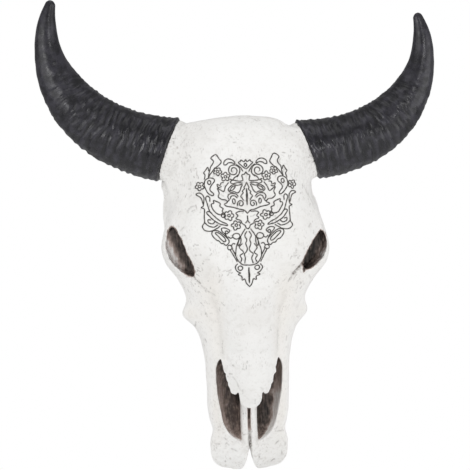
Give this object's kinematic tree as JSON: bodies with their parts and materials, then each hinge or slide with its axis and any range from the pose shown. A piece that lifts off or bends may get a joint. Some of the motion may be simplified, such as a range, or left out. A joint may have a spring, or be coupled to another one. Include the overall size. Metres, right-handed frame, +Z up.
{
  "type": "cast resin cattle skull wall decoration",
  "caption": "Life-size cattle skull for a wall, cast in bone-white resin with black horns, dark eye and nose hollows and engraved floral scrollwork on the forehead.",
  "frame": {"origin": "on the flat back that lies on the wall, on the midline, at the height of the eye sockets", "axes": "+Y into the wall, so the face looks along -Y; +Z up from the muzzle to the horns; +X to the viewer's right"},
  "size_m": [0.5413, 0.136, 0.6444],
  "materials": {
    "bone_resin": "matte bone-white paint with a thin grey-brown wash in pits and hollows",
    "horn_resin": "satin black paint over wavy growth rings",
    "engraving_ink": "dark matte ink in the engraved lines",
    "hanger_steel": "zinc-plated sheet"
  },
  "bodies": {
    "root": {"skull": "bone_resin", "horn_left": "horn_resin", "horn_right": "horn_resin", "hanger_plate": "hanger_steel"}
  },
  "joints": []
}
